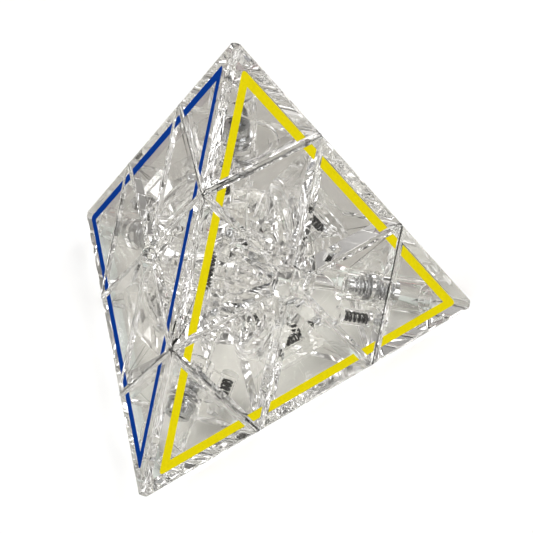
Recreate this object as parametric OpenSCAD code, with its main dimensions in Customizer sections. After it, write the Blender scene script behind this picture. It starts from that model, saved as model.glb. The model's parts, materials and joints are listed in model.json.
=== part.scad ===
// Pyramid twisty puzzle in clear plastic.
// Four layers turn about the four corner axes, and each corner tip turns on its own.
// Everything is placed about the centre of the hub, where the four axes cross.

/* [Puzzle] */
// Length of one edge of the whole pyramid, measured to its sharp corners
edge_len = 96; // [94:1:100]
// Play between two pieces that slide on each other
gap = 0.3; // [0.2:0.05:0.35]
// Thickness of the moulded outer walls
wall = 2; // [1.8:0.1:2.2]
// How far each sharp corner is cut back
corner_cut = 2.5; // [1.5:0.1:3]
// How far each sharp edge is cut back
edge_cut = 0.6; // [0.3:0.1:1]
// Radius of the rounded noses that meet round each face centre
nose_r = 4.2; // [4:0.1:4.4]

/* [Hub and shafts] */
// Radius of the ball at the centre
hub_r = 7.5; // [7:0.1:8]
// Radius of the four shafts
shaft_r = 2.2; // [2:0.1:2.4]
// Outer radius of the hollow in which the feet and collars run
socket_r = 15; // [14.5:0.1:15.5]
// Angle between a layer's axis and the cone that its feet stay inside
foot_angle = 77; // [75:1:78]

/* [Clicks] */
// Radius of the balls that click against the tips
click_ball_r = 1.1; // [1:0.05:1.2]
// Distance of a click ball from its axis
click_offset = 7.4; // [7.3:0.1:7.5]
// Radius of the balls at the ends of an edge spring
edge_ball_r = 1.3; // [1.2:0.05:1.35]
// Distance of an edge spring from the centre of the hub
edge_spring_z = 19.6; // [19:0.1:20]

/* [Hidden] */
corner_names = ["top", "front", "right", "left"];
edge_ends = [[0, 1], [0, 2], [0, 3], [1, 2], [2, 3], [3, 1]];
function edge_name(e) = str(corner_names[e[0]], "_", corner_names[e[1]]);
axial_kinds = ["axial_shell", "axial_collar", "axial_sleeve", "click_spring", "click_ball"];
tip_kinds = ["tip_shell", "tip_base"];
edge_kinds = ["edge_shell", "edge_foot", "edge_spring", "edge_balls"];
$fn = 64;

// Distances from the centre to a face, to an edge and to a sharp corner
face_d = edge_len / (2 * sqrt(6));
edge_d = edge_len / (2 * sqrt(2));
apex_d = 3 * face_d;
// Distances from the centre to the plane under a layer and to the plane under a tip
layer_cut = face_d / 3;
tip_cut = 5 * face_d / 3;

// Directions from the centre to the corners: top, front, right and left
corner = [
    [0, 0, 1],
    [0, -2 * sqrt(2) / 3, -1 / 3],
    [sqrt(2 / 3), sqrt(2) / 3, -1 / 3],
    [-sqrt(2 / 3), sqrt(2) / 3, -1 / 3],
];
// Where front, right and left go when the top corner is turned onto each corner
ring = [[1, 2, 3], [2, 0, 3], [3, 0, 1], [1, 0, 2]];
// The same directions for an edge piece that lies along Y with its edge outwards
edge_end = [[0, sqrt(2 / 3), sqrt(1 / 3)], [0, -sqrt(2 / 3), sqrt(1 / 3)]];
edge_side = [[sqrt(2 / 3), 0, -sqrt(1 / 3)], [-sqrt(2 / 3), 0, -sqrt(1 / 3)]];
// The corner towards which each axial's click ball lies, before the axial is turned to its place
click_side = [1, 1, 3, 2];

// Play round a shaft and a ball, and how far a cutter runs past what it cuts
running_fit = 0.05;
ball_fit = 0.15;
over = 1;

// Distances along a corner's axis end in low, high or top
bore_r = shaft_r + running_fit;
base_plate = 1.8;
base_top = tip_cut + gap / 2 + base_plate;
screw_r = 1.25;
screw_low = 26;
washer_r = 3.1;
washer_low = base_top + running_fit;
washer_t = 0.6;
head_r = 2.7;
head_low = washer_low + washer_t;
head_high = head_low + 2.2;
recess_deep = 1.2;
recess_long = 3.6;
recess_wide = 0.7;
// The spring that holds tip and axial apart lies in a pocket at the sleeve's outer end
spring_r = 2.95;
spring_wire = 0.55;
pocket_r = spring_r + 0.1;
pocket_low = tip_cut - 3.6;
tube_r = 4;
tube_bore = 3.2;
tube_top = 45;
tip_hole_top = 49.5;
sleeve_r = 3.7;
sleeve_low = 24.5;
click_tube_r = 1.9;
click_bore = 1.4;
web = 1.2;
click_low = 23.5;
click_seat = 24.8;
click_z = tip_cut + 0.5 - click_ball_r;
small_wire = 0.45;
click_coil_r = click_ball_r + 0.1;
edge_coil_r = edge_ball_r - 0.1;
// Inside an edge piece: a plate, the block that holds the spring under it, and a boss on each side
plate_low = 22.6;
plate_high = 24.2;
block_half = 4.2;
block_low = 13;
boss_r = 2.25;
boss_half = 5.2;
boss_z = 17;
neck_r = socket_r + 0.98;
// The rounded nose's centre lies this far from the face centre
nose_x = 8;
nose_block = 12;
// Wider than the collar itself, whose sides are the cones of the other three layers
collar_r = 0.7 * socket_r;
// How far an edge ball's centre lies from the plane that it presses through
ball_depth = edge_ball_r - 0.45;
edge_ball_y = (edge_spring_z * sqrt(1 / 3) - layer_cut - ball_depth) / sqrt(2 / 3);
groove_z = layer_cut + ball_depth;
groove_d = sqrt(edge_ball_y ^ 2 + edge_spring_z ^ 2 - groove_z ^ 2);
groove_r = edge_ball_r + ball_fit + running_fit;
cone_shift = gap / 2 / sin(foot_angle);
cone_h = 20;
block = 200;

function unit(v) = v / norm(v);
function edge_dir(a, b) = unit(corner[a] + corner[b]);

// Turns +Z to z_dir, and +X to the side of it on which x_hint lies
module facing(z_dir, x_hint) {
    x_dir = unit(x_hint - (x_hint * z_dir) * z_dir);
    y_dir = cross(z_dir, x_dir);
    multmatrix([
        [x_dir.x, y_dir.x, z_dir.x, 0],
        [x_dir.y, y_dir.y, z_dir.y, 0],
        [x_dir.z, y_dir.z, z_dir.z, 0],
        [0, 0, 0, 1],
    ]) children();
}
module at_corner(k) facing(corner[k], corner[ring[k][1]] - corner[ring[k][2]]) children();
module at_edge(e) facing(edge_dir(e[0], e[1]), cross(corner[e[0]] - corner[e[1]], edge_dir(e[0], e[1])))
    children();
module at_corners() for (k = [0:3]) at_corner(k) children();

// Everything that lies further than d along a direction
module beyond(dir, d) rotate([0, acos(dir.z), atan2(dir.y, dir.x)])
    translate([-block / 2, -block / 2, d]) cube(block);
module slab(low, high) translate([-block / 2, -block / 2, low]) cube([block, block, high - low]);
module ring_at(d, z, r) rotate_extrude() translate([d, z]) circle(r = r);
module tube(outer, inner, low, high) translate([0, 0, low]) difference() {
    cylinder(r = outer, h = high - low);
    translate([0, 0, -over]) cylinder(r = inner, h = high - low + 2 * over);
}
module rod(r, low, high) translate([0, 0, low]) cylinder(r = r, h = high - low);
// The cone inside which the feet of one layer stay, moved along its axis
module layer_cone(dir, shift) facing(dir, [dir.y, dir.z, dir.x + 0.1]) translate([0, 0, shift])
    cylinder(r1 = 0, r2 = cone_h * tan(foot_angle), h = cone_h);

// Takes off the sharp end of a piece at a face centre: +Z out of the face, +X into the piece
module nose_trim(inset) {
    r = nose_r - inset;
    difference() {
        translate([-nose_x, -nose_block, face_d - nose_block])
            cube([2 * nose_x - r / 2, 2 * nose_block, nose_block + nose_x]);
        translate([nose_x, 0, 0]) cylinder(r = r, h = 2 * face_d);
    }
}

// Outer forms of the three kinds of piece, shrunk by inset on every side but an open floor
module tip_space(inset, low) difference() {
    slab(low, apex_d - corner_cut - inset);
    for (n = [1:3]) beyond(-corner[n], face_d - inset);
    for (n = [1:3]) beyond(edge_dir(0, n), edge_d - edge_cut - inset);
}
module axial_space(inset, low) difference() {
    slab(low, tip_cut - gap / 2 - inset);
    for (n = [1:3]) {
        beyond(-corner[n], face_d - inset);
        beyond(corner[n], layer_cut - gap / 2 - inset);
        beyond(edge_dir(0, n), edge_d - edge_cut - inset);
        facing(-corner[n], corner[0]) nose_trim(inset);
    }
}
module edge_space(inset) difference() {
    slab(layer_cut, edge_d - edge_cut - inset);
    for (n = [0:1]) {
        beyond(-edge_side[n], face_d - inset);
        beyond(-edge_end[n], -(layer_cut + gap / 2 + inset));
        facing(-edge_side[n], [0, 0, 1]) nose_trim(inset);
    }
}

// Hub, with the four shafts moulded on, and the parts that hold each stack on its shaft
module core_hub() color([0.92, 0.94, 0.95]) difference() {
    union() {
        sphere(r = hub_r);
        at_corners() rod(shaft_r, 0, base_top);
    }
    at_corners() rod(screw_r, screw_low - over, base_top + over);
}
module shaft_screws() color([0.55, 0.56, 0.58]) at_corners() difference() {
    union() {
        rod(screw_r, screw_low, head_low + over / 2);
        rod(head_r, head_low, head_high);
    }
    for (a = [0, 90]) rotate([0, 0, a])
        translate([-recess_long / 2, -recess_wide / 2, head_high - recess_deep])
            cube([recess_long, recess_wide, 2 * recess_deep]);
}
module shaft_washers() color([0.7, 0.71, 0.72])
    at_corners() tube(washer_r, screw_r, washer_low, head_low);
module tension_springs() color([0.3, 0.31, 0.32]) at_corners()
    tube(spring_r, spring_r - spring_wire, pocket_low + running_fit, tip_cut + gap / 2 - running_fit);

// Tip: a hollow corner that snaps over a base with a tube for the screw's head
module tip_shell() color([0.9, 0.93, 0.95]) difference() {
    tip_space(0, tip_cut + gap / 2);
    tip_space(wall, tip_cut - over);
    rod(tube_r, tip_cut - over, tube_top);
    rod(shaft_r, tip_cut, tip_hole_top);
    ring_at(click_offset, click_z, click_ball_r + ball_fit);
}
module tip_base() color([0.86, 0.9, 0.93]) difference() {
    union() {
        intersection() {
            tip_space(wall, tip_cut + gap / 2);
            slab(tip_cut, base_top);
        }
        rod(tube_r, base_top - over / 2, tube_top);
    }
    rod(bore_r, tip_cut - over, base_top + over);
    rod(tube_bore, base_top, tube_top + over);
    ring_at(click_offset, click_z, click_ball_r + ball_fit);
}

// Axial: shell, collar that rides on the hub, and sleeve with the click tube beside it
module click_at(k) rotate([0, 0, click_turn(k)]) translate([click_offset, 0, 0]) children();
function click_turn(k) = atan2(corner[click_side[k]].y, corner[click_side[k]].x);
module axial_shell(k) color([0.9, 0.93, 0.95]) difference() {
    axial_space(0, layer_cut + gap / 2);
    axial_space(wall, 0);
    sphere(r = socket_r + gap / 2, $fn = 96);
    rod(sleeve_r, pocket_low, tip_cut + over);
    click_at(k) rod(click_tube_r, pocket_low, tip_cut + over);
    for (n = [1:3]) facing(corner[n], corner[0]) ring_at(groove_d, groove_z, groove_r);
}
module axial_collar() color([0.86, 0.9, 0.93]) difference() {
    intersection() {
        axial_space(wall, layer_cut + gap / 2);
        union() {
            sphere(r = socket_r + gap / 2 + wall, $fn = 96);
            slab(layer_cut, layer_cut + gap / 2 + wall);
        }
    }
    difference() {
        sphere(r = socket_r + gap / 2, $fn = 96);
        difference() {
            rod(collar_r, over, socket_r + wall);
            for (n = [1:3]) layer_cone(corner[n], -cone_shift);
        }
    }
    sphere(r = hub_r + gap);
    rod(bore_r, 0, socket_r + 2 * wall);
}
module axial_sleeve(k) color([0.86, 0.9, 0.93]) difference() {
    union() {
        rod(sleeve_r, sleeve_low, tip_cut - gap / 2);
        click_at(k) rod(click_tube_r, click_low, tip_cut - gap / 2);
        rotate([0, 0, click_turn(k)]) translate([bore_r + running_fit, -web / 2, sleeve_low])
            cube([click_offset - click_bore - bore_r, web, pocket_low - sleeve_low]);
    }
    rod(bore_r, sleeve_low - over, tip_cut + over);
    rod(pocket_r, pocket_low, tip_cut + over);
    click_at(k) rod(click_bore, click_seat, tip_cut + over);
}
module click_spring(k) color([0.3, 0.31, 0.32])
    click_at(k) tube(click_coil_r, click_coil_r - small_wire, click_seat, click_z - click_ball_r);
module click_ball(k) color([0.7, 0.71, 0.72]) click_at(k) translate([0, 0, click_z]) sphere(r = click_ball_r);

// Edge: shell, foot with a plate and a bore for the spring, spring, and the two balls at its ends
module spring_bore(r) translate([0, 0, edge_spring_z]) rotate([90, 0, 0])
    translate([0, 0, -edge_d / 2]) cylinder(r = r, h = edge_d);
module edge_shell() color([0.9, 0.93, 0.95]) difference() {
    edge_space(0);
    edge_space(wall);
    sphere(r = neck_r, $fn = 96);
    spring_bore(edge_ball_r + ball_fit);
}
module edge_foot() color([0.86, 0.9, 0.93]) difference() {
    union() {
        intersection() {
            edge_space(0);
            sphere(r = neck_r, $fn = 96);
        }
        difference() {
            intersection() {
                sphere(r = socket_r - gap / 2, $fn = 96);
                layer_cone(edge_end[0], cone_shift);
                layer_cone(edge_end[1], cone_shift);
            }
            for (dir = edge_side) layer_cone(dir, -cone_shift);
        }
        intersection() {
            edge_space(wall);
            union() {
                slab(plate_low, plate_high);
                translate([-block_half, -edge_d / 2, block_low])
                    cube([2 * block_half, edge_d, plate_high - block_low]);
                translate([0, 0, boss_z]) rotate([0, 90, 0]) translate([0, 0, -boss_half])
                    cylinder(r = boss_r, h = 2 * boss_half);
            }
        }
    }
    sphere(r = hub_r + gap);
    spring_bore(edge_ball_r + ball_fit);
}
module edge_spring() color([0.3, 0.31, 0.32]) translate([0, 0, edge_spring_z]) rotate([90, 0, 0])
    tube(edge_coil_r, edge_coil_r - small_wire, edge_ball_r - edge_ball_y, edge_ball_y - edge_ball_r);
module edge_balls() color([0.7, 0.71, 0.72])
    for (s = [-1, 1]) translate([0, s * edge_ball_y, edge_spring_z]) sphere(r = edge_ball_r);

core_hub();
shaft_screws();
shaft_washers();
tension_springs();
for (k = [0:3]) {
    name = corner_names[k];
    at_corner(k) tip_shell();
    at_corner(k) tip_base();
    at_corner(k) axial_shell(k);
    at_corner(k) axial_collar();
    at_corner(k) axial_sleeve(k);
    at_corner(k) click_spring(k);
    at_corner(k) click_ball(k);
}
for (e = edge_ends) {
    name = edge_name(e);
    at_edge(e) edge_shell();
    at_edge(e) edge_foot();
    at_edge(e) edge_spring();
    at_edge(e) edge_balls();
}
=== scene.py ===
"""Looks of a clear plastic pyramid twisty puzzle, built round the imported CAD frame."""
import json
from math import cos, pi, radians, sin, sqrt

import bmesh
import bpy
from bpy.props import FloatProperty, FloatVectorProperty, PointerProperty
from bpy.types import Operator, Panel, PropertyGroup
from mathutils import Matrix, Vector


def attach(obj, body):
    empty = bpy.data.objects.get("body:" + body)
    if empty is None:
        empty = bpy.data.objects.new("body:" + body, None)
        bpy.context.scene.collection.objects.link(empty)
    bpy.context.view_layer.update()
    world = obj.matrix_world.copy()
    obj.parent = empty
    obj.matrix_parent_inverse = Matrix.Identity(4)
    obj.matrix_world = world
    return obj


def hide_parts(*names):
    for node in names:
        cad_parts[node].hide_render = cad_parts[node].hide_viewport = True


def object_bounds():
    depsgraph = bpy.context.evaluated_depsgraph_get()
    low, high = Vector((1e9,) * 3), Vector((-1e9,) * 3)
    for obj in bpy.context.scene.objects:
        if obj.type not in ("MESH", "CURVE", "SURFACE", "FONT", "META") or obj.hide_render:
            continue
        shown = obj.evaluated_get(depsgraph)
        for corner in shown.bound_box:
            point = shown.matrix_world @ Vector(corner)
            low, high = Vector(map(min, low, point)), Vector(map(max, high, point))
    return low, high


bl_info = {
    "name": "Pyramid Twisty Puzzle",
    "version": (1, 0, 0),
    "blender": (4, 5, 0),
    "location": "View3D > Sidebar > Puzzle",
    "description": "Clear shells, springs, balls, screws and face outlines of a pyramid twisty puzzle",
    "category": "Object",
}

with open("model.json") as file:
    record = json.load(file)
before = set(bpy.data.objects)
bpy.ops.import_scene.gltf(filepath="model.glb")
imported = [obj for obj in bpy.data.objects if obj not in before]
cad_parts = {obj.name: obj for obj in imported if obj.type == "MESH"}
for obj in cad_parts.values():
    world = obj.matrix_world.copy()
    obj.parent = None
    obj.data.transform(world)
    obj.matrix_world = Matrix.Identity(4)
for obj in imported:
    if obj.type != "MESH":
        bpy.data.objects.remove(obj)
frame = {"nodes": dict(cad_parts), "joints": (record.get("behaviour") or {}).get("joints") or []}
CAD_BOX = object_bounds()
MM = 0.001
ORIGIN = Vector((0, 0, 0))
# Points closer than this are one point
TOUCH = 0.002 * MM
# A face that is wider than this is flat and shaded flat
BROAD = 1.25 * MM
# Degrees between two facets past which their edge is shaded sharp: on mouldings, and on wires and balls
CREASE = 32
CREASE_ROUND = 60
# Only edges longer than this are rounded, and only where the faces turn by more than this many degrees
LONG_EDGE = 1.6 * MM
TURNED_EDGE = 20

CORNERS = ("top", "front", "right", "left")
EDGES = (
    ("top", "front"), ("top", "right"), ("top", "left"),
    ("front", "right"), ("right", "left"), ("left", "front"),
)
TURNS = {j["name"]: Vector(j["axis"]).normalized() for j in frame["joints"]}
AXIS = {c: TURNS["turn_" + c] for c in CORNERS}

# Distances from the hub's centre, all worked out from how far the resting face lies below it
FACE_D = -CAD_BOX[0].z
LAYER_CUT = FACE_D / 3
TIP_CUT = 5 * FACE_D / 3
APEX_D = 3 * FACE_D
# Sine of the angle between two corners' axes
SPREAD = 2 * sqrt(2) / 3


def across(direction):
    """A frame whose Z is the direction."""
    z = direction.normalized()
    x = z.cross(Vector((0, 0, 1)) if abs(z.z) < 0.9 else Vector((1, 0, 0))).normalized()
    return Matrix((x, z.cross(x), z)).transposed().to_4x4()


# ---------------------------------------------------------------- settings


class PlasticSettings(PropertyGroup):
    """The clear moulded plastic."""

    shell_ior: FloatProperty(
        name="Shell IOR", description="Refraction of the shells", default=1.42, min=1.2, max=1.7)
    inner_ior: FloatProperty(
        name="Inner IOR", description="Refraction of the inner mouldings, low so that what they hold shows",
        default=1.15, min=1.05, max=1.7)
    roughness: FloatProperty(
        name="Roughness", description="Haze of the polished moulding", default=0.0, min=0, max=0.3)
    round_outside: FloatProperty(
        name="Outer rounding", description="Radius on the outer edges of a piece",
        default=0.55 * MM, subtype="DISTANCE", unit="LENGTH")
    seam: FloatProperty(
        name="Seam", description="Air left between two mouldings that touch",
        default=0.02 * MM, subtype="DISTANCE", unit="LENGTH")
    tint: FloatVectorProperty(
        name="Tint", description="Colour of light that has gone through", subtype="COLOR",
        size=3, min=0, max=1, default=(0.998, 0.997, 0.994))


class OutlineSettings(PropertyGroup):
    """The printed outline on each face."""

    band: FloatProperty(
        name="Band", description="Width of the printed band", default=2.0 * MM,
        subtype="DISTANCE", unit="LENGTH")
    share: FloatProperty(
        name="Share", description="Size of the band's outer triangle against the sharp face",
        default=0.872, min=0.7, max=0.95)
    margin: FloatProperty(
        name="Margin", description="Gap between the print and a piece's own edge",
        default=1.0 * MM, subtype="DISTANCE", unit="LENGTH")
    corner: FloatProperty(
        name="Corner", description="How far back from its outer corners the print starts to round",
        default=1.2 * MM, subtype="DISTANCE", unit="LENGTH")
    film: FloatProperty(
        name="Film", description="Thickness of the print", default=0.05 * MM,
        subtype="DISTANCE", unit="LENGTH")
    yellow: FloatVectorProperty(
        name="Yellow", description="Right front face", subtype="COLOR", size=3, min=0, max=1,
        default=(0.9, 0.77, 0.006))
    blue: FloatVectorProperty(
        name="Blue", description="Left front face", subtype="COLOR", size=3, min=0, max=1,
        default=(0.004, 0.045, 0.3))
    red: FloatVectorProperty(
        name="Red", description="Back face", subtype="COLOR", size=3, min=0, max=1,
        default=(0.55, 0.012, 0.015))
    green: FloatVectorProperty(
        name="Green", description="Resting face", subtype="COLOR", size=3, min=0, max=1,
        default=(0.01, 0.25, 0.05))


class MetalSettings(PropertyGroup):
    """Springs, screws, washers and balls."""

    tension_wire: FloatProperty(
        name="Tension wire", description="Wire of the springs round the shafts", default=0.6 * MM,
        subtype="DISTANCE", unit="LENGTH")
    small_wire: FloatProperty(
        name="Small wire", description="Wire of the click and edge springs", default=0.5 * MM,
        subtype="DISTANCE", unit="LENGTH")
    coil_gap: FloatProperty(
        name="Coil gap", description="Pitch of a coil against its wire", default=2.0, min=1.1, max=4)
    thread_pitch: FloatProperty(
        name="Thread pitch", description="Pitch of the screws' thread", default=0.9 * MM,
        subtype="DISTANCE", unit="LENGTH")
    thread_depth: FloatProperty(
        name="Thread depth", description="How far the thread bites into the shaft", default=0.28 * MM,
        subtype="DISTANCE", unit="LENGTH")


class StageSettings(PropertyGroup):
    """Camera, floor and lights."""

    azimuth: FloatProperty(
        name="Azimuth", description="Camera's turn about Z", default=radians(20.2), subtype="ANGLE")
    elevation: FloatProperty(
        name="Elevation", description="Camera's height above the horizon", default=radians(39.8),
        subtype="ANGLE")
    roll: FloatProperty(
        name="Roll", description="Camera's turn about its view", default=radians(0.9), subtype="ANGLE")
    distance: FloatProperty(
        name="Distance", description="Camera to the hub's centre", default=0.446,
        subtype="DISTANCE", unit="LENGTH")
    lens: FloatProperty(name="Lens", description="Focal length on a 36 mm sensor", default=140.6)
    aim_right: FloatProperty(
        name="Aim right", description="How far right of the hub the camera aims", default=6.85 * MM,
        subtype="DISTANCE", unit="LENGTH")
    aim_up: FloatProperty(
        name="Aim up", description="How far above the hub the camera aims", default=-0.45 * MM,
        subtype="DISTANCE", unit="LENGTH")
    floor: FloatVectorProperty(
        name="Floor", description="Colour of the floor", subtype="COLOR", size=3, min=0, max=1,
        default=(0.9, 0.9, 0.9))
    # Painted shade: a darker floor colour that only rays through the plastic see, so the clear pieces look
    # shaded grey
    floor_painted_shade: FloatVectorProperty(
        name="Floor inside", description="Colour of the floor where it is seen through the plastic",
        subtype="COLOR", size=3, min=0, max=1, default=(0.36, 0.348, 0.32))
    key: FloatProperty(name="Key", description="Power of the key light", default=5.0, unit="POWER")
    fill: FloatProperty(name="Fill", description="Power of the fill light", default=2.5, unit="POWER")
    back: FloatProperty(name="Back", description="Power of the back light", default=4.0, unit="POWER")


class PuzzleSettings(PropertyGroup):
    """All settings of the puzzle."""

    plastic: PointerProperty(type=PlasticSettings)
    outline: PointerProperty(type=OutlineSettings)
    metal: PointerProperty(type=MetalSettings)
    stage: PointerProperty(type=StageSettings)


# ---------------------------------------------------------------- materials


def node_of(tree, kind, **inputs):
    """A node of a kind, with the named inputs set. Underscores in a name stand for spaces."""
    node = tree.nodes.new(kind)
    for name, value in inputs.items():
        node.inputs[name.replace("_", " ")].default_value = value
    return node


def surface_group():
    """Moulded surface: faint waves from the mould, fine haze and stray dust."""
    name = "Moulded surface"
    if name in bpy.data.node_groups:
        return bpy.data.node_groups[name]
    group = bpy.data.node_groups.new(name, "ShaderNodeTree")
    for label in ("Roughness", "Wave Height", "Wave Scale", "Dust"):
        group.interface.new_socket(label, in_out="INPUT", socket_type="NodeSocketFloat")
    group.interface.new_socket("Roughness", in_out="OUTPUT", socket_type="NodeSocketFloat")
    group.interface.new_socket("Normal", in_out="OUTPUT", socket_type="NodeSocketVector")
    links = group.links
    into = group.nodes.new("NodeGroupInput")
    out = group.nodes.new("NodeGroupOutput")
    place = group.nodes.new("ShaderNodeTexCoord")
    waves = node_of(group, "ShaderNodeTexNoise", Detail=1.0, Roughness=0.4)
    links.new(place.outputs["Object"], waves.inputs["Vector"])
    links.new(into.outputs["Wave Scale"], waves.inputs["Scale"])
    bump = node_of(group, "ShaderNodeBump", Distance=1.0)
    height = group.nodes.new("ShaderNodeMath")
    height.operation = "MULTIPLY"
    links.new(waves.outputs["Fac"], height.inputs[0])
    links.new(into.outputs["Wave Height"], height.inputs[1])
    links.new(height.outputs[0], bump.inputs["Height"])
    grain = node_of(group, "ShaderNodeTexNoise", Scale=900.0, Detail=3.0, Roughness=0.6)
    links.new(place.outputs["Object"], grain.inputs["Vector"])
    specks = node_of(group, "ShaderNodeMapRange", From_Min=0.62, From_Max=0.8, To_Min=0.0, To_Max=1.0)
    links.new(grain.outputs["Fac"], specks.inputs["Value"])
    dust = group.nodes.new("ShaderNodeMath")
    dust.operation = "MULTIPLY"
    links.new(specks.outputs["Result"], dust.inputs[0])
    links.new(into.outputs["Dust"], dust.inputs[1])
    total = group.nodes.new("ShaderNodeMath")
    total.operation = "ADD"
    links.new(dust.outputs[0], total.inputs[0])
    links.new(into.outputs["Roughness"], total.inputs[1])
    links.new(total.outputs[0], out.inputs["Roughness"])
    links.new(bump.outputs["Normal"], out.inputs["Normal"])
    return group


def surface_into(tree, shader, roughness, wave_height, wave_scale, dust):
    """Places the moulded surface in a material and joins it to the shader."""
    group = tree.nodes.new("ShaderNodeGroup")
    group.node_tree = surface_group()
    group.inputs["Roughness"].default_value = roughness
    group.inputs["Wave Height"].default_value = wave_height
    group.inputs["Wave Scale"].default_value = wave_scale
    group.inputs["Dust"].default_value = dust
    tree.links.new(group.outputs["Roughness"], shader.inputs["Roughness"])
    tree.links.new(group.outputs["Normal"], shader.inputs["Normal"])


def new_material(name):
    material = bpy.data.materials.new(name)
    material.use_nodes = True
    material.node_tree.nodes.clear()
    return material, material.node_tree


def clear_plastic(name, ior, wave_height, wave_scale):
    """Clear moulded plastic. Shadow rays go straight through, as light does through thin clear walls."""
    if name in bpy.data.materials:
        return bpy.data.materials[name]
    plastic = bpy.context.scene.puzzle.plastic
    material, tree = new_material(name)
    shader = node_of(tree, "ShaderNodeBsdfPrincipled", Metallic=0.0, IOR=ior, Transmission_Weight=1.0)
    shader.inputs["Base Color"].default_value = (*plastic.tint, 1)
    surface_into(tree, shader, plastic.roughness, wave_height, wave_scale, dust=0.02)
    through = tree.nodes.new("ShaderNodeBsdfTransparent")
    through.inputs["Color"].default_value = (0.985, 0.987, 0.985, 1)
    path = tree.nodes.new("ShaderNodeLightPath")
    mix = tree.nodes.new("ShaderNodeMixShader")
    tree.links.new(path.outputs["Is Shadow Ray"], mix.inputs["Fac"])
    tree.links.new(shader.outputs["BSDF"], mix.inputs[1])
    tree.links.new(through.outputs["BSDF"], mix.inputs[2])
    out = tree.nodes.new("ShaderNodeOutputMaterial")
    tree.links.new(mix.outputs["Shader"], out.inputs["Surface"])
    return material


def metal(name, colour, roughness, wear):
    """Drawn or ground steel, with streaks that change its colour and gloss a little."""
    if name in bpy.data.materials:
        return bpy.data.materials[name]
    material, tree = new_material(name)
    shader = node_of(tree, "ShaderNodeBsdfPrincipled", Metallic=1.0)
    place = tree.nodes.new("ShaderNodeTexCoord")
    streaks = node_of(tree, "ShaderNodeTexNoise", Scale=1400.0, Detail=4.0, Roughness=0.65)
    tree.links.new(place.outputs["Object"], streaks.inputs["Vector"])
    ramp = tree.nodes.new("ShaderNodeValToRGB")
    ramp.color_ramp.elements[0].position = 0.3
    ramp.color_ramp.elements[0].color = (*[c * (1 - wear) for c in colour], 1)
    ramp.color_ramp.elements[1].position = 0.7
    ramp.color_ramp.elements[1].color = (*colour, 1)
    tree.links.new(streaks.outputs["Fac"], ramp.inputs["Fac"])
    tree.links.new(ramp.outputs["Color"], shader.inputs["Base Color"])
    surface_into(tree, shader, roughness, wave_height=2e-6, wave_scale=2600.0, dust=0.25)
    out = tree.nodes.new("ShaderNodeOutputMaterial")
    tree.links.new(shader.outputs["BSDF"], out.inputs["Surface"])
    return material


def print_film(name, colour):
    """Opaque glossy print, with the faint mottle of screen printing."""
    if name in bpy.data.materials:
        return bpy.data.materials[name]
    material, tree = new_material(name)
    shader = node_of(tree, "ShaderNodeBsdfPrincipled", Metallic=0.0, IOR=1.48, Specular_IOR_Level=0.0)
    place = tree.nodes.new("ShaderNodeTexCoord")
    mottle = node_of(tree, "ShaderNodeTexNoise", Scale=2200.0, Detail=2.0, Roughness=0.5)
    tree.links.new(place.outputs["Object"], mottle.inputs["Vector"])
    ramp = tree.nodes.new("ShaderNodeValToRGB")
    ramp.color_ramp.elements[0].position = 0.25
    ramp.color_ramp.elements[0].color = (*[c * 0.9 for c in colour], 1)
    ramp.color_ramp.elements[1].position = 0.6
    ramp.color_ramp.elements[1].color = (*colour, 1)
    tree.links.new(mottle.outputs["Fac"], ramp.inputs["Fac"])
    tree.links.new(ramp.outputs["Color"], shader.inputs["Base Color"])
    surface_into(tree, shader, roughness=0.3, wave_height=1e-6, wave_scale=1800.0, dust=0.1)
    out = tree.nodes.new("ShaderNodeOutputMaterial")
    tree.links.new(shader.outputs["BSDF"], out.inputs["Surface"])
    return material


def backing(colour_name, colour):
    """The pale inner side of an outline, with a trace of its colour."""
    pale, trace = 0.62, 0.12
    return print_film(colour_name + "_backing", [pale + trace * (c - pale) for c in colour])


def shell_plastic():
    return clear_plastic(
        "polished_shell", bpy.context.scene.puzzle.plastic.shell_ior, wave_height=1e-5, wave_scale=55.0)


def inner_plastic():
    return clear_plastic(
        "polished_inner", bpy.context.scene.puzzle.plastic.inner_ior, wave_height=1e-5, wave_scale=80.0)


def dark_wire():
    """Wire of the click and edge springs."""
    return metal("dark_wire", (0.012, 0.012, 0.013), roughness=0.35, wear=0.5)


def bright_wire():
    """Wire of the tension springs."""
    return metal("bright_wire", (0.5, 0.5, 0.51), roughness=0.22, wear=0.35)


def ground_steel():
    """Steel of the screws, washers and balls."""
    return metal("ground_steel", (0.62, 0.63, 0.64), roughness=0.14, wear=0.25)


# ---------------------------------------------------------------- mesh work


def finish_piece(name, bm, body, material, replaced=(), crease=CREASE):
    """Makes a piece of a bmesh and gives it its shading, material, body and slot."""
    mesh = bpy.data.meshes.new(name)
    for face in bm.faces:
        # a broad face is flat, and a narrow one is a facet of something round
        face.smooth = face.calc_area() < BROAD * max(e.calc_length() for e in face.edges)
    for edge in bm.edges:
        if len(edge.link_faces) == 2:
            edge.smooth = edge.calc_face_angle(0) < radians(crease)
    bm.to_mesh(mesh)
    bm.free()
    mesh.materials.append(material)
    piece = bpy.data.objects.new(name, mesh)
    bpy.context.scene.collection.objects.link(piece)
    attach(piece, body)
    if replaced:
        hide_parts(*replaced)
    return piece


def merged_copy(node):
    """A bmesh of a CAD node's copy, its loose triangles joined and its flat faces made whole."""
    flat_angle = radians(0.4)
    bm = bmesh.new()
    bm.from_mesh(frame["nodes"][node].data)
    bmesh.ops.remove_doubles(bm, verts=bm.verts, dist=TOUCH)
    bmesh.ops.dissolve_degenerate(bm, edges=bm.edges, dist=TOUCH)
    bmesh.ops.dissolve_limit(bm, angle_limit=flat_angle, verts=bm.verts, edges=bm.edges)
    return bm


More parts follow.
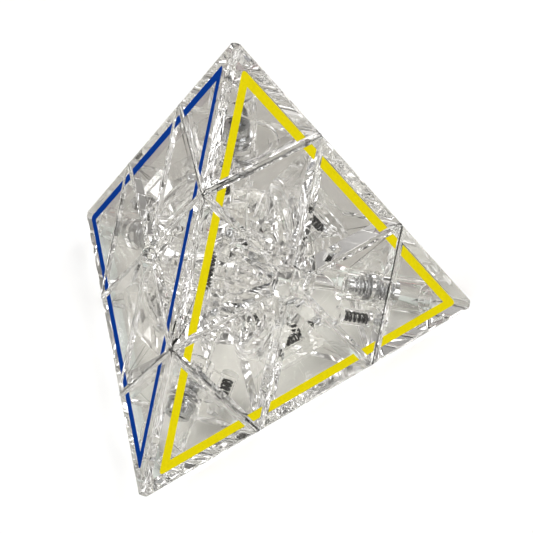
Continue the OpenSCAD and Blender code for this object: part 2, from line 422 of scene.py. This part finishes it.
def round_edges(bm, radius):
    """Rounds the long straight outer edges, the ones that a finger meets."""
    edges = []
    for edge in bm.edges:
        if len(edge.link_faces) == 2 and edge.calc_length() > LONG_EDGE:
            if edge.calc_face_angle_signed(0) > radians(TURNED_EDGE):
                edges.append(edge)
    bmesh.ops.bevel(
        bm, geom=edges, offset=radius, offset_type="OFFSET", segments=3, profile=0.5,
        affect="EDGES", clamp_overlap=False, material=-1, loop_slide=True, miter_outer="ARC")
    bmesh.ops.dissolve_degenerate(bm, edges=bm.edges, dist=0.005 * MM)


def clear_shell(node, body):
    """A CAD node's outer moulding with its long edges softened, which stands for the node."""
    bm = merged_copy(node)
    round_edges(bm, bpy.context.scene.puzzle.plastic.round_outside)
    finish_piece(node + "_clear", bm, body, shell_plastic(), (node,))


def clear_inner(node, body, seam):
    """A CAD node's inner moulding, shrunk by a seam so that it doesn't merge with its neighbours."""
    bm = merged_copy(node)
    if seam:
        bm.normal_update()
        for vert in bm.verts:
            vert.co -= vert.normal * seam
    finish_piece(node + "_clear", bm, body, inner_plastic(), (node,))


def coil(bm, middle, wire, height, place):
    """Adds a closed-end coil spring of wire about Z, from 0 to height, then moves it to its place."""
    # how much of the even rise is taken from the first and last turns
    closed_ends = 0.27
    steps_per_turn = 20
    turns = round(height / (wire * bpy.context.scene.puzzle.metal.coil_gap)) + 0.5
    steps = int(turns * steps_per_turn)
    section = bmesh.ops.create_circle(
        bm, cap_ends=False, segments=10, radius=wire / 2,
        matrix=Matrix.Translation((middle, 0, 0)) @ Matrix.Rotation(pi / 2, 4, "X"))["verts"]
    edges = list(dict.fromkeys(e for v in section for e in v.link_edges))
    rise = height - wire
    before = set(bm.verts) - set(section)
    bmesh.ops.spin(
        bm, geom=section + edges, cent=ORIGIN, axis=(0, 0, 1), dvec=(0, 0, rise / steps),
        angle=2 * pi * steps / steps_per_turn, steps=steps, use_merge=False, use_duplicate=False)
    made = [v for v in bm.verts if v not in before]
    for vert in made:
        vert.co.z += wire / 2 - closed_ends * rise * sin(2 * pi * vert.co.z / rise) / (2 * pi)
    loops = [e for e in bm.edges if len(e.link_faces) == 1]
    bmesh.ops.holes_fill(bm, edges=loops, sides=0)
    bmesh.ops.transform(bm, matrix=place, verts=made)


def span_along(points, axis):
    """(lowest, highest) distance of points along an axis."""
    along = [p.dot(axis) for p in points]
    return min(along), max(along)


def off_axis(point, axis):
    """Distance of a point from a line through the origin."""
    return (point - axis * point.dot(axis)).length


def node_points(node):
    return [v.co.copy() for v in frame["nodes"][node].data.vertices]


def points_at(node, axis):
    """The points of a node's group that lie out along one corner's axis."""
    return [p for p in node_points(node) if p.normalized().dot(axis) > 0.9]


def middle_of(points):
    low, high = points[0].copy(), points[0].copy()
    for p in points:
        for i in range(3):
            low[i] = min(low[i], p[i])
            high[i] = max(high[i], p[i])
    return (low + high) / 2


def spring_from_node(name, node, axis, wire, body):
    """A real coil where a CAD node holds a spring's tube."""
    points = node_points(node)
    centre = middle_of(points)
    low, high = span_along([p - centre for p in points], axis)
    outer = max(off_axis(p - centre, axis) for p in points)
    bm = bmesh.new()
    coil(bm, outer - wire / 2, wire, high - low, Matrix.Translation(centre + axis * low) @ across(axis))
    bmesh.ops.recalc_face_normals(bm, faces=bm.faces)
    finish_piece(name, bm, body, dark_wire(), (node,), CREASE_ROUND)


# ---------------------------------------------------------------- operators


class PUZZLE_OT_tips(Operator):
    """Clear tips: the hollow corner and its base"""

    bl_idname = "puzzle.tips"
    bl_label = "Tips"

    def execute(self, context):
        for corner in CORNERS:
            body = corner + "_tip"
            clear_shell(corner + "_tip_shell", body)
            clear_inner(corner + "_tip_base", body, context.scene.puzzle.plastic.seam)
        return {"FINISHED"}


class PUZZLE_OT_axials(Operator):
    """Clear axial pieces: shell, collar on the hub and sleeve on the shaft"""

    bl_idname = "puzzle.axials"
    bl_label = "Axial pieces"

    def execute(self, context):
        for corner in CORNERS:
            body = corner + "_axial"
            clear_shell(corner + "_axial_shell", body)
            for kind in ("_axial_collar", "_axial_sleeve"):
                clear_inner(corner + kind, body, context.scene.puzzle.plastic.seam)
        return {"FINISHED"}


class PUZZLE_OT_edges(Operator):
    """Clear edge pieces: shell and foot"""

    bl_idname = "puzzle.edges"
    bl_label = "Edge pieces"

    def execute(self, context):
        for a, b in EDGES:
            body = f"{a}_{b}_edge"
            clear_shell(body + "_shell", body)
            clear_inner(body + "_foot", body, context.scene.puzzle.plastic.seam)
        return {"FINISHED"}


class PUZZLE_OT_core(Operator):
    """Clear hub with its four shafts"""

    bl_idname = "puzzle.core"
    bl_label = "Hub and shafts"

    def execute(self, context):
        clear_inner("core_hub", "core", seam=0.0)
        return {"FINISHED"}


class PUZZLE_OT_springs(Operator):
    """Coil springs: four round the shafts, four clicks and six along the edges"""

    bl_idname = "puzzle.springs"
    bl_label = "Springs"

    def execute(self, context):
        wires = context.scene.puzzle.metal
        wire = wires.tension_wire
        bm = bmesh.new()
        for axis in AXIS.values():
            points = points_at("tension_springs", axis)
            low, high = span_along(points, axis)
            outer = max(off_axis(p, axis) for p in points)
            coil(bm, outer - wire / 2, wire, high - low, Matrix.Translation(axis * low) @ across(axis))
        bmesh.ops.recalc_face_normals(bm, faces=bm.faces)
        finish_piece("tension_coils", bm, "core", bright_wire(), ("tension_springs",),
                     CREASE_ROUND)
        for corner, axis in AXIS.items():
            spring_from_node(corner + "_click_coil", corner + "_click_spring", axis, wires.small_wire,
                             corner + "_axial")
        for a, b in EDGES:
            body = f"{a}_{b}_edge"
            spring_from_node(body + "_coil", body + "_spring", (AXIS[a] - AXIS[b]).normalized(),
                             wires.small_wire, body)
        return {"FINISHED"}


class PUZZLE_OT_screws(Operator):
    """Screws with their threads, washers and balls"""

    bl_idname = "puzzle.screws"
    bl_label = "Screws, washers and balls"

    def execute(self, context):
        for node in ("shaft_screws", "shaft_washers"):
            bm = merged_copy(node)
            finish_piece(node + "_steel", bm, "core", ground_steel(), (node,))
        self.threads(context.scene.puzzle.metal)
        for corner in CORNERS:
            bm = merged_copy(corner + "_click_ball")
            finish_piece(corner + "_click_steel", bm, corner + "_axial", ground_steel(),
                         (corner + "_click_ball",), CREASE_ROUND)
        for a, b in EDGES:
            body = f"{a}_{b}_edge"
            bm = merged_copy(body + "_balls")
            finish_piece(body + "_steel", bm, body, ground_steel(), (body + "_balls",),
                         CREASE_ROUND)
        return {"FINISHED"}

    def threads(self, settings):
        """A helical ridge down each screw, where it bites into the shaft."""
        head = 3 * MM
        root, crest = 0.3, 0.6
        pitch, steps = settings.thread_pitch, 24
        bm = bmesh.new()
        for axis in AXIS.values():
            points = points_at("shaft_screws", axis)
            low, high = span_along(points, axis)
            shank = 1.01 * max(off_axis(p, axis) for p in points if p.dot(axis) < low + TOUCH)
            turns = int((high - low - head) / pitch)
            before = set(bm.verts)
            ridge = [bm.verts.new((shank + d, 0, z * pitch)) for d, z in (
                (0, 0), (0, root), (settings.thread_depth, crest), (0, 1))]
            edges = [bm.edges.new(pair) for pair in zip(ridge, ridge[1:])]
            bmesh.ops.spin(
                bm, geom=ridge + edges, cent=ORIGIN, axis=(0, 0, 1), dvec=(0, 0, pitch / steps),
                angle=2 * pi * turns, steps=steps * turns, use_merge=False, use_duplicate=False)
            made = [v for v in bm.verts if v not in before]
            bmesh.ops.remove_doubles(bm, verts=made, dist=TOUCH)
            made = [v for v in bm.verts if v not in before]
            bmesh.ops.transform(bm, matrix=Matrix.Translation(axis * low) @ across(axis), verts=made)
        bmesh.ops.solidify(bm, geom=bm.faces, thickness=0.05 * MM)
        bmesh.ops.recalc_face_normals(bm, faces=bm.faces)
        finish_piece("screw_threads", bm, "core", ground_steel())


class PUZZLE_OT_outlines(Operator):
    """Printed outlines of the four faces, cut at the grooves"""

    bl_idname = "puzzle.outlines"
    bl_label = "Face outlines"

    def execute(self, context):
        # each face is named for the corner opposite to it
        for face, colour in (("left", "yellow"), ("right", "blue"), ("front", "red"), ("top", "green")):
            rim = [c for c in CORNERS if c != face]
            for corner in rim:
                self.strip(face, corner + "_tip", colour, rim, {corner: (TIP_CUT, None)})
                cuts = {c: (None, LAYER_CUT) for c in rim}
                cuts[corner] = (LAYER_CUT, TIP_CUT)
                self.strip(face, corner + "_axial", colour, rim, cuts)
            for a, b in EDGES:
                if a in rim and b in rim:
                    cuts = {a: (LAYER_CUT, None), b: (LAYER_CUT, None)}
                    self.strip(face, f"{a}_{b}_edge", colour, rim, cuts)
        return {"FINISHED"}

    def band(self, face, rim):
        """The whole outline of one face: three mitred strips round its middle."""
        settings = bpy.context.scene.puzzle.outline
        centre = -AXIS[face] * FACE_D
        reach = APEX_D * settings.share * SPREAD
        bm = bmesh.new()
        rings = []
        # in an equal-sided triangle the band's corners lie two bands apart
        for radius in (reach, reach - 2 * settings.band):
            ring = []
            for corner in rim:
                out = (AXIS[corner] - AXIS[face] * AXIS[corner].dot(AXIS[face])).normalized()
                ring.append(bm.verts.new(centre + out * radius))
            rings.append(ring)
        for i in range(3):
            j = (i + 1) % 3
            bm.faces.new((rings[0][i], rings[0][j], rings[1][j], rings[1][i]))
        return bm

    def strip(self, face, body, colour, rim, limits):
        """The part of a face's outline that is printed on one piece, between limits along the axes."""
        settings = bpy.context.scene.puzzle.outline
        bm = self.band(face, rim)
        # a margin in the face is this much shorter when it is measured along a layer's axis
        lean = settings.margin * SPREAD
        for corner, (low, high) in limits.items():
            axis = AXIS[corner]
            if low is not None:
                self.keep(bm, axis * (low + lean), -axis)
            if high is not None:
                self.keep(bm, axis * (high - lean), axis)
        if not bm.faces:
            raise RuntimeError(f"the {colour} outline misses {body}")
        normal = -AXIS[face]
        bmesh.ops.dissolve_limit(bm, angle_limit=radians(1), verts=bm.verts, edges=bm.edges)
        sharp = [v for v in bm.verts if self.is_tip(v, face)]
        if sharp:
            bmesh.ops.bevel(
                bm, geom=sharp, offset=settings.corner, offset_type="OFFSET", segments=4, profile=0.5,
                affect="VERTICES", material=-1)
        # a hair off the plastic, so that print and plastic don't share a plane
        bmesh.ops.translate(bm, vec=normal * 0.01 * MM, verts=bm.verts)
        film = bmesh.ops.extrude_face_region(bm, geom=bm.faces[:])
        lifted = [v for v in film["geom"] if isinstance(v, bmesh.types.BMVert)]
        bmesh.ops.translate(bm, vec=normal * settings.film, verts=lifted)
        bmesh.ops.recalc_face_normals(bm, faces=bm.faces)
        for side in bm.faces:
            side.material_index = 0 if side.normal.dot(normal) > -0.5 else 1
        shade = getattr(settings, colour)
        piece = finish_piece(f"{body}_{colour}_outline", bm, body,
                             print_film(colour + "_print", shade))
        piece.data.materials.append(backing(colour, shade))

    @staticmethod
    def is_tip(vert, face):
        """Whether a vertex is an outer corner of the whole outline."""
        reach = APEX_D * bpy.context.scene.puzzle.outline.share * SPREAD
        return (vert.co + AXIS[face] * FACE_D).length > reach - 0.1 * MM

    @staticmethod
    def keep(bm, point, away):
        """Cuts off what lies beyond a plane."""
        on_plane = 1e-7
        bmesh.ops.bisect_plane(
            bm, geom=bm.verts[:] + bm.edges[:] + bm.faces[:], dist=on_plane, plane_co=point, plane_no=away,
            clear_outer=True)


# How often light may bend in the many clear walls, and the brightest that one bent ray may add
BOUNCES = 48
CLEAR_BOUNCES = 64
BRIGHTEST = 4.0
FLOOR_RADIUS = 3.0
# Where along the studio's noise its panels go from dark to bright, and how bright each stop is
PANEL_STOPS = ((0.44, 0.07), (0.48, 0.19), (0.54, 0.42), (0.60, 0.9), (0.64, 2.4))
# Share of red, green and blue in a panel's light
PANEL_TINT = (1, 0.975, 0.94)


class PUZZLE_OT_stage(Operator):
    """Pale floor, soft lights and the camera"""

    bl_idname = "puzzle.stage"
    bl_label = "Stage"

    def execute(self, context):
        settings = context.scene.puzzle.stage
        self.floor(settings)
        self.lights(settings)
        self.world()
        self.camera(settings)
        cycles = context.scene.cycles
        cycles.max_bounces = BOUNCES
        cycles.transmission_bounces = BOUNCES
        cycles.glossy_bounces = BOUNCES
        cycles.transparent_max_bounces = CLEAR_BOUNCES
        cycles.sample_clamp_indirect = BRIGHTEST
        context.scene.view_settings.view_transform = "Standard"
        return {"FINISHED"}

    def floor(self, settings):
        """A wide disc just under the puzzle, with painted shade: it is darker where it is seen through the
        plastic, which greys the clear pieces.
        """
        under = 0.1 * MM
        bm = bmesh.new()
        bmesh.ops.create_circle(
            bm, cap_ends=True, segments=96, radius=FLOOR_RADIUS,
            matrix=Matrix.Translation((0, 0, -FACE_D - under)))
        mesh = bpy.data.meshes.new("floor")
        bm.to_mesh(mesh)
        bm.free()
        floor = bpy.data.objects.new("floor", mesh)
        bpy.context.scene.collection.objects.link(floor)
        material, tree = new_material("floor")
        shader = node_of(tree, "ShaderNodeBsdfPrincipled", Roughness=0.6)
        # Painted shade: the floor is darker for every ray but the camera's, so the plastic that shows it
        # looks shaded
        path = tree.nodes.new("ShaderNodeLightPath")
        shade = tree.nodes.new("ShaderNodeMix")
        shade.data_type = "RGBA"
        shade.inputs["A"].default_value = (*settings.floor_painted_shade, 1)
        shade.inputs["B"].default_value = (*settings.floor, 1)
        tree.links.new(path.outputs["Is Camera Ray"], shade.inputs["Factor"])
        tree.links.new(shade.outputs["Result"], shader.inputs["Base Color"])
        out = tree.nodes.new("ShaderNodeOutputMaterial")
        tree.links.new(shader.outputs["BSDF"], out.inputs["Surface"])
        mesh.materials.append(material)

    def lights(self, settings):
        """Three soft lights, each with its power, its width and its place in metres."""
        for name, power, size, place in (
            ("key", settings.key, 0.5, (-0.55, -0.45, 0.75)),
            ("fill", settings.fill, 0.6, (0.75, -0.35, 0.45)),
            ("back", settings.back, 0.5, (0.15, 0.8, 0.55)),
        ):
            light = bpy.data.lights.new(name, "AREA")
            light.energy = power
            light.shape = "RECTANGLE"
            light.size = size
            light.size_y = size * 0.6
            lamp = bpy.data.objects.new(name, light)
            lamp.location = place
            lamp.rotation_euler = (-Vector(place)).to_track_quat("-Z", "Y").to_euler()
            bpy.context.scene.collection.objects.link(lamp)

    def world(self):
        """Bright panels round a dark studio, and plain white where the camera sees past the floor."""
        world = bpy.data.worlds.new("studio")
        bpy.context.scene.world = world
        world.use_nodes = True
        tree = world.node_tree
        tree.nodes.clear()
        place = tree.nodes.new("ShaderNodeTexCoord")
        turn = node_of(tree, "ShaderNodeMapping", Location=(7.9, 0.7, 7.0))
        tree.links.new(place.outputs["Generated"], turn.inputs["Vector"])
        panels = node_of(tree, "ShaderNodeTexNoise", Scale=2.2, Detail=1.0, Roughness=0.5)
        tree.links.new(turn.outputs["Vector"], panels.inputs["Vector"])
        ramp = tree.nodes.new("ShaderNodeValToRGB")
        stops = ramp.color_ramp.elements
        for position, level in PANEL_STOPS:
            stop = stops.new(position)
            stop.color = (*[level * share for share in PANEL_TINT], 1)
        stops.remove(stops[0])
        stops.remove(stops[-1])
        tree.links.new(panels.outputs["Fac"], ramp.inputs["Fac"])
        studio = node_of(tree, "ShaderNodeBackground", Strength=1.1)
        tree.links.new(ramp.outputs["Color"], studio.inputs["Color"])
        plain = node_of(tree, "ShaderNodeBackground", Strength=1.0)
        plain.inputs["Color"].default_value = (1, 1, 1, 1)
        path = tree.nodes.new("ShaderNodeLightPath")
        mix = tree.nodes.new("ShaderNodeMixShader")
        tree.links.new(path.outputs["Is Camera Ray"], mix.inputs["Fac"])
        tree.links.new(studio.outputs["Background"], mix.inputs[1])
        tree.links.new(plain.outputs["Background"], mix.inputs[2])
        out = tree.nodes.new("ShaderNodeOutputWorld")
        tree.links.new(mix.outputs["Shader"], out.inputs["Surface"])

    def camera(self, settings):
        """The camera, aimed a little off the hub."""
        data = bpy.data.cameras.new("camera")
        data.lens = settings.lens
        data.sensor_width = 36
        data.clip_start = 0.01
        camera = bpy.data.objects.new("camera", data)
        bpy.context.scene.collection.objects.link(camera)
        back = Vector((
            sin(settings.azimuth) * cos(settings.elevation),
            -cos(settings.azimuth) * cos(settings.elevation),
            sin(settings.elevation)))
        spot = back * settings.distance
        level = (-back).to_track_quat("-Z", "Y") @ Matrix.Rotation(settings.roll, 3, "Z").to_quaternion()
        aim = level @ Vector((settings.aim_right, settings.aim_up, 0))
        camera.location = spot
        camera.rotation_euler = ((aim - spot).to_track_quat("-Z", "Y")
                                 @ Matrix.Rotation(settings.roll, 3, "Z").to_quaternion()).to_euler()
        bpy.context.scene.camera = camera


STEPS = (
    PUZZLE_OT_core, PUZZLE_OT_tips, PUZZLE_OT_axials, PUZZLE_OT_edges,
    PUZZLE_OT_springs, PUZZLE_OT_screws, PUZZLE_OT_outlines, PUZZLE_OT_stage,
)


class PUZZLE_PT_panel(Panel):
    """Lists the puzzle's pieces"""

    bl_idname = "PUZZLE_PT_panel"
    bl_label = "Pyramid Twisty Puzzle"
    bl_space_type = "VIEW_3D"
    bl_region_type = "UI"
    bl_category = "Puzzle"

    def draw(self, context):
        for step in STEPS:
            self.layout.operator(step.bl_idname)
        settings = context.scene.puzzle
        for group in (settings.plastic, settings.outline, settings.metal, settings.stage):
            box = self.layout.box()
            for name in group.__annotations__:
                box.prop(group, name)


CLASSES = (
    PlasticSettings, OutlineSettings, MetalSettings, StageSettings, PuzzleSettings, *STEPS, PUZZLE_PT_panel,
)


def register():
    for kind in CLASSES:
        bpy.utils.register_class(kind)
    bpy.types.Scene.puzzle = PointerProperty(type=PuzzleSettings)


def unregister():
    del bpy.types.Scene.puzzle
    for kind in reversed(CLASSES):
        bpy.utils.unregister_class(kind)


def main():
    register()
    for step in STEPS:
        group, name = step.bl_idname.split(".")
        getattr(getattr(bpy.ops, group), name)()


if __name__ == "__main__":
    main()
